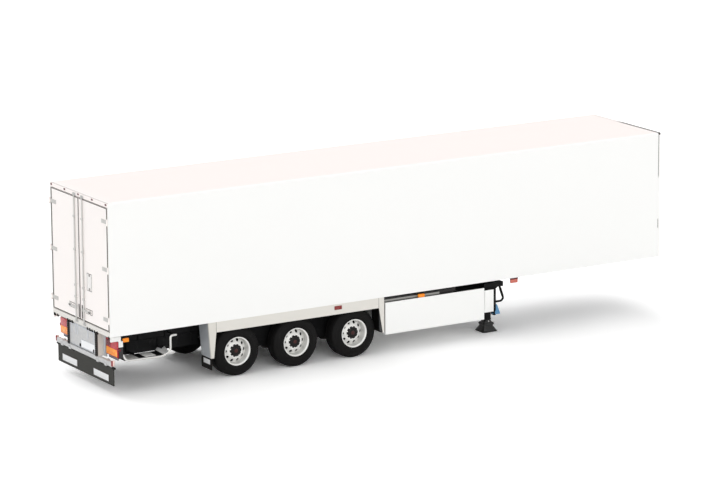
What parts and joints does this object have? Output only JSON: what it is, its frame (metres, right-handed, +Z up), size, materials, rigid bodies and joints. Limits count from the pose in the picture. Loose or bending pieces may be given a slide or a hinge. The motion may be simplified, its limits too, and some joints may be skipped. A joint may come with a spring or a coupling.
{
  "type": "refrigerated box semi trailer, 1:50 scale model",
  "caption": "Display model of an insulated box semi trailer standing on its landing legs, with opening rear doors, turning wheels and a kingpin for its tractor unit.",
  "frame": {"origin": "centre of the model's footprint on the ground, below the middle of its overall length and width", "axes": "+X forwards, from the rear doors towards the kingpin and the front wall; +Y to the trailer's left; +Z up"},
  "size_m": [0.2728, 0.0528, 0.08],
  "materials": {
    "body_white": "satin white sandwich panel skin",
    "door_white": "satin white door skin",
    "seal_black": "matt black rubber profile",
    "floor_alloy": "ribbed alloy load floor",
    "frame_grey": "dull galvanised grey",
    "fittings": "brushed grey metal",
    "chassis_black": "satin black chassis paint",
    "kingpin_steel": "machined steel",
    "black_plastic": "matt black moulding",
    "flap_rubber": "matt dark grey rubber",
    "skirt_grey": "matt pale grey moulding",
    "white_plastic": "matt white moulding",
    "plate_white": "blank white plate",
    "lamp_red": "clear red lens",
    "lamp_orange": "clear orange lens",
    "rim_silver": "silver painted wheel",
    "tyre": "matt black tyre rubber",
    "chock_blue": "matt blue moulding"
  },
  "bodies": {
    "trailer": {"left_wall": "body_white", "right_wall": "body_white", "roof": "body_white", "front_wall": "body_white", "front_seal": "seal_black", "load_floor": "floor_alloy", "rear_header": "body_white", "rear_sill": "frame_grey", "door_hinges": "fittings", "coupling_panel": "black_plastic", "coupling_plate": "chassis_black", "kingpin": "kingpin_steel", "chassis_rails": "chassis_black", "crossmembers": "chassis_black", "stowage_box": "chassis_black", "rear_panels": "frame_grey", "number_plate": "plate_white", "bumper_posts": "seal_black", "bumper_bar": "frame_grey", "rear_mudflap": "flap_rubber", "lamp_housings": "white_plastic", "tail_lamps": "lamp_red", "marker_arms": "lamp_red", "side_lamps": "lamp_orange", "skirt_bands": "skirt_grey", "skirt_rear_legs": "skirt_grey", "skirt_front_legs": "skirt_grey", "wheel_liners": "black_plastic", "wheel_flaps": "flap_rubber", "guard_tubes": "fittings", "steps": "frame_grey", "pallet_box": "white_plastic", "pallet_box_doors": "white_plastic", "pallet_box_rails": "frame_grey", "tool_boxes": "white_plastic", "landing_beam": "chassis_black", "landing_legs": "chassis_black", "landing_feet": "chassis_black", "crank_handle": "chassis_black", "wheel_chock": "chock_blue", "hangers": "chassis_black", "trailing_arms": "chassis_black", "air_springs": "black_plastic", "axle_beams": "chassis_black"},
    "left_door": {"left_door": "door_white", "left_door_seal": "seal_black", "left_door_fittings": "fittings"},
    "right_door": {"right_door": "door_white", "right_door_seal": "seal_black", "right_door_fittings": "fittings", "document_holder": "white_plastic"},
    "rear_wheelset": {"rear_shaft": "kingpin_steel", "rear_rims": "rim_silver", "rear_tyres": "tyre"},
    "middle_wheelset": {"middle_shaft": "kingpin_steel", "middle_rims": "rim_silver", "middle_tyres": "tyre"},
    "front_wheelset": {"front_shaft": "kingpin_steel", "front_rims": "rim_silver", "front_tyres": "tyre"}
  },
  "joints": [
    {"name": "left_door_hinge", "type": "hinge", "parent": "trailer", "child": "left_door", "pos_m": [-0.13604, 0.02585, 0.05228], "axis": [0, 0, -1], "range_deg": [0, 260]},
    {"name": "right_door_hinge", "type": "hinge", "parent": "trailer", "child": "right_door", "pos_m": [-0.13604, -0.02585, 0.05228], "axis": [0, 0, 1], "range_deg": [0, 260]},
    {"name": "rear_wheels", "type": "hinge", "parent": "trailer", "child": "rear_wheelset", "pos_m": [-0.07649, 0, 0.0106], "axis": [0, 1, 0], "continuous": true},
    {"name": "middle_wheels", "type": "hinge", "parent": "trailer", "child": "middle_wheelset", "pos_m": [-0.04839, 0, 0.0106], "axis": [0, 1, 0], "continuous": true},
    {"name": "front_wheels", "type": "hinge", "parent": "trailer", "child": "front_wheelset", "pos_m": [-0.02029, 0, 0.0106], "axis": [0, 1, 0], "continuous": true}
  ]
}
